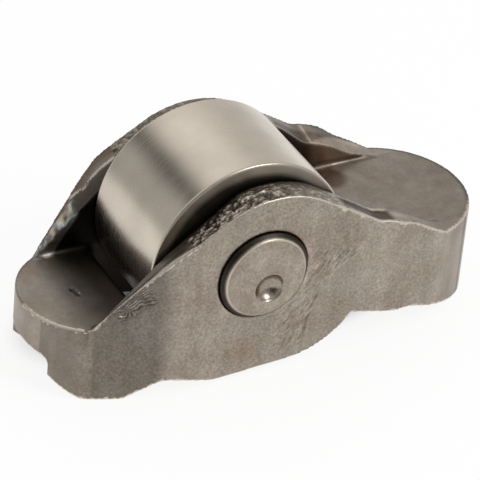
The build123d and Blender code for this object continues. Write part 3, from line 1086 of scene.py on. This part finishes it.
def needle_steel():
    """Polished bearing steel of the needles, a little oily and bright."""
    material, node = new_material("polished_needle_steel")
    place = node("ShaderNodeTexCoord").outputs["Object"]
    _, roughness = noise_level(node, place, 0.12, 0.24, 900.0)
    finish_metal(node, {"Base Color": (*linear("DAD6CE"), 1), "Roughness": roughness})
    return material


class ROCKER_OT_needles(bpy.types.Operator):
    """Set the full ring of needles between axle and roller"""

    bl_idname = "rocker.needles"
    bl_label = "Needles"

    def execute(self, context):
        settings = context.scene.rocker_needles
        material = needle_steel()
        one = turned_mesh(
            "needle", needle_outline(settings), False, settings.steps, (0, 0, 0), material
        )
        holder = holder_of(one)
        modifier = holder.modifiers.new("Needle set", "NODES")
        modifier.node_group = needle_tree()
        set_inputs(
            modifier,
            {
                "Count": len(NEEDLES), "Circle Radius": NEEDLE_CIRCLE,
                "Centre": tuple(AXLE_CENTRE), "Material": material,
            },
        )
        mesh = evaluated_mesh(holder)
        mesh.shade_smooth()
        place_piece("needle_set", mesh, material, "needles", "needle_steel", *NEEDLES)
        return {"FINISHED"}


# ---- Stage: floor, soft light and camera ----


class StageSettings(bpy.types.PropertyGroup):
    lens: bpy.props.FloatProperty(
        name="Lens", description="Focal length in mm on a 36 mm sensor",
        default=262.5, min=20, max=600, subtype="DISTANCE_CAMERA",
    )
    distance: bpy.props.FloatProperty(
        name="Distance", description="From the axle's middle to the camera",
        default=0.34277, min=0.05, max=5, unit="LENGTH",
    )
    key_power: bpy.props.FloatProperty(
        name="Key light", description="Power of the soft light in front, in watts",
        default=0.8, min=0, max=20, subtype="POWER",
    )


def floor_material():
    """Plain pale floor: white to the eye and in the metal, with the part's soft shadow and a
    painted shadow beneath it.
    """
    material, node = new_material("pale_floor")
    rays = node("ShaderNodeLightPath").outputs
    seen = rays["Is Camera Ray"]
    for kind in ("Is Glossy Ray", "Is Transmission Ray"):
        seen = node("ShaderNodeMath", {0: seen, 1: rays[kind]}, operation="MAXIMUM")
    # A painted shadow: beneath the part the floor's glow drops to next to nothing
    place = node("ShaderNodeTexCoord").outputs["Object"]
    low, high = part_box("body")
    sideways, wider = 4 * MM, 1.5 * MM
    middle = ((low[0] + high[0]) / 2, sideways, 0)
    spread = ((high[0] - low[0]) / 2, high[1] + wider, 1)
    offset = node("ShaderNodeVectorMath", {0: place, 1: middle}, operation="SUBTRACT")
    scaled = node("ShaderNodeVectorMath", {0: offset, 1: spread}, operation="DIVIDE")
    flat = node("ShaderNodeVectorMath", {0: scaled, 1: (1, 1, 0)}, operation="MULTIPLY")
    away = node("ShaderNodeVectorMath", {0: flat}, operation="LENGTH")
    glow_beside_painted_shadow = node(
        "ShaderNodeMapRange",
        {"Value": away, "From Min": 0.6, "From Max": 1.0, "To Min": 0.1, "To Max": 1.04},
        interpolation_type="SMOOTHSTEP",
    )
    paper = node("ShaderNodeBsdfDiffuse", {"Color": (0.9, 0.9, 0.9, 1)})
    white = node("ShaderNodeEmission", {"Color": (1, 1, 1, 1), "Strength": glow_beside_painted_shadow})
    lifted = node("ShaderNodeMixShader", {0: 0.14, 1: white, 2: paper})
    shown = node("ShaderNodeMixShader", {0: seen, 1: paper, 2: lifted})
    node("ShaderNodeOutputMaterial", {"Surface": shown})
    return material


def build_floor():
    """A wide floor that touches what the part rests on: its flanges and the pivot's nose."""
    points = read_vectors(frame["nodes"]["body"].data).tolist()
    valve_end, pivot_end, gap, size = -25 * MM, 4 * MM, 0.02 * MM, 1.5
    valve = min((point for point in points if point[0] < valve_end), key=lambda point: point[2])
    pivot = min((point for point in points if point[0] > pivot_end), key=lambda point: point[2])
    slope = (pivot[2] - valve[2]) / (pivot[0] - valve[0])
    corners = [(-size, -size), (size, -size), (size, size), (-size, size)]
    verts = [(x, y, valve[2] + slope * (x - valve[0]) - gap) for x, y in corners]
    mesh = bpy.data.meshes.new("floor")
    mesh.from_pydata(verts, [], [(0, 1, 2, 3)])
    mesh.materials.append(floor_material())
    floor = bpy.data.objects.new("floor", mesh)
    bpy.context.scene.collection.objects.link(floor)


# The surroundings' plain level, and where they differ: direction, narrowness, change
TENT_LEVEL = 0.62
SURROUNDINGS = (
    ((-0.42, 0.73, 0.545), 70.0, -0.66),
    ((0.05, 0.7, 0.71), 12.0, 0.45),
    ((0.78, 0.55, -0.3), 6.0, 0.25),
    ((-0.62, 0.78, 0.0), 14.0, -0.2),
    ((-0.42, -0.88, 0.22), 5.0, -0.6),
)


def build_world():
    """Studio surroundings: a soft tent, brighter and darker towards some sides."""
    world = bpy.data.worlds.new("studio")
    bpy.context.scene.world = world
    world.use_nodes = True
    world.node_tree.nodes.clear()
    node = partial(add_node, world.node_tree)
    direction = node("ShaderNodeTexCoord").outputs["Generated"]
    level = TENT_LEVEL
    for towards, narrowness, change in SURROUNDINGS:
        cosine = node("ShaderNodeVectorMath", {0: direction, 1: towards}, operation="DOT_PRODUCT")
        ahead = node("ShaderNodeMath", {0: cosine, 1: 0.0}, operation="MAXIMUM")
        spread = node("ShaderNodeMath", {0: ahead, 1: narrowness}, operation="POWER")
        level = node("ShaderNodeMath", {0: spread, 1: change, 2: level}, operation="MULTIPLY_ADD")
    tent = node("ShaderNodeBackground", {"Color": (1.0, 0.99, 0.975, 1), "Strength": level})
    node("ShaderNodeOutputWorld", {"Surface": tent})


def add_light(name, azimuth, elevation, distance, size, power):
    """A soft square light that looks at the axle's middle, placed by angles in degrees."""
    around, above = math.radians(azimuth), math.radians(elevation)
    back = Vector(
        (math.cos(around) * math.cos(above), math.sin(around) * math.cos(above), math.sin(above))
    )
    lamp = bpy.data.lights.new(name, "AREA")
    lamp.size = size
    lamp.energy = power
    light = bpy.data.objects.new(name, lamp)
    light.location = AXLE_CENTRE + back * distance
    light.rotation_euler = (-back).to_track_quat("-Z", "Y").to_euler()
    light.visible_camera = False
    bpy.context.scene.collection.objects.link(light)


# The camera's right and back, solved from the round outlines in the photograph, and how
# far the camera is moved to its right and up
CAMERA_RIGHT = (0.8833, -0.4623, 0.0789)
CAMERA_BACK = (-0.4235, -0.7136, 0.5581)
CAMERA_SHIFT = (2.11 * MM, -1.66 * MM)


def build_camera(settings):
    """The camera at the photograph's angle."""
    right = Vector(CAMERA_RIGHT).normalized()
    back = Vector(CAMERA_BACK)
    back = (back - right * back.dot(right)).normalized()
    up = back.cross(right)
    camera = bpy.data.cameras.new("camera")
    camera.lens = settings.lens
    camera.sensor_width = 36
    camera.clip_start = 0.01
    camera.clip_end = 20
    holder = bpy.data.objects.new("camera", camera)
    shift = right * CAMERA_SHIFT[0] + up * CAMERA_SHIFT[1]
    place = Matrix.Translation(AXLE_CENTRE + back * settings.distance + shift)
    holder.matrix_world = place @ Matrix((right, up, back)).transposed().to_4x4()
    bpy.context.scene.collection.objects.link(holder)
    bpy.context.scene.camera = holder


class ROCKER_OT_stage(bpy.types.Operator):
    """Set the pale floor, the soft studio light and the camera"""

    bl_idname = "rocker.stage"
    bl_label = "Stage"

    def execute(self, context):
        settings = context.scene.rocker_stage
        build_floor()
        build_world()
        add_light(
            "key", azimuth=-53, elevation=45, distance=0.5, size=0.22, power=settings.key_power
        )
        build_camera(settings)
        context.scene.view_settings.view_transform = "Standard"
        return {"FINISHED"}


# ---- Panel and start ----


class ROCKER_PT_panel(bpy.types.Panel):
    """Lists the pieces of the rocker arm"""

    bl_idname = "ROCKER_PT_panel"
    bl_label = "Rocker arm"
    bl_space_type = "VIEW_3D"
    bl_region_type = "UI"
    bl_category = "Rocker arm"

    def draw(self, context):
        for settings_name, (_, operator) in PIECES.items():
            box = self.layout.box()
            box.operator(operator.bl_idname)
            settings = getattr(context.scene, settings_name)
            for name in settings.__annotations__:
                box.prop(settings, name)


# The name of each piece's settings on the scene, their class, and the piece's operator
PIECES = {
    "rocker_arm": (ArmSettings, ROCKER_OT_arm),
    "rocker_axle": (AxleSettings, ROCKER_OT_axle),
    "rocker_roller": (RollerSettings, ROCKER_OT_roller),
    "rocker_needles": (NeedleSettings, ROCKER_OT_needles),
    "rocker_stage": (StageSettings, ROCKER_OT_stage),
}
CLASSES = (*(cls for pair in PIECES.values() for cls in pair), ROCKER_PT_panel)


def register():
    for cls in CLASSES:
        bpy.utils.register_class(cls)
    for name, (group, _) in PIECES.items():
        setattr(bpy.types.Scene, name, bpy.props.PointerProperty(type=group))


def unregister():
    for name in PIECES:
        delattr(bpy.types.Scene, name)
    for cls in reversed(CLASSES):
        bpy.utils.unregister_class(cls)


def main():
    """Builds every piece and the stage."""
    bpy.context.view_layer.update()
    register()
    bpy.ops.rocker.arm()
    bpy.ops.rocker.axle()
    bpy.ops.rocker.roller()
    bpy.ops.rocker.needles()
    bpy.ops.rocker.stage()


if __name__ == "__main__":
    main()
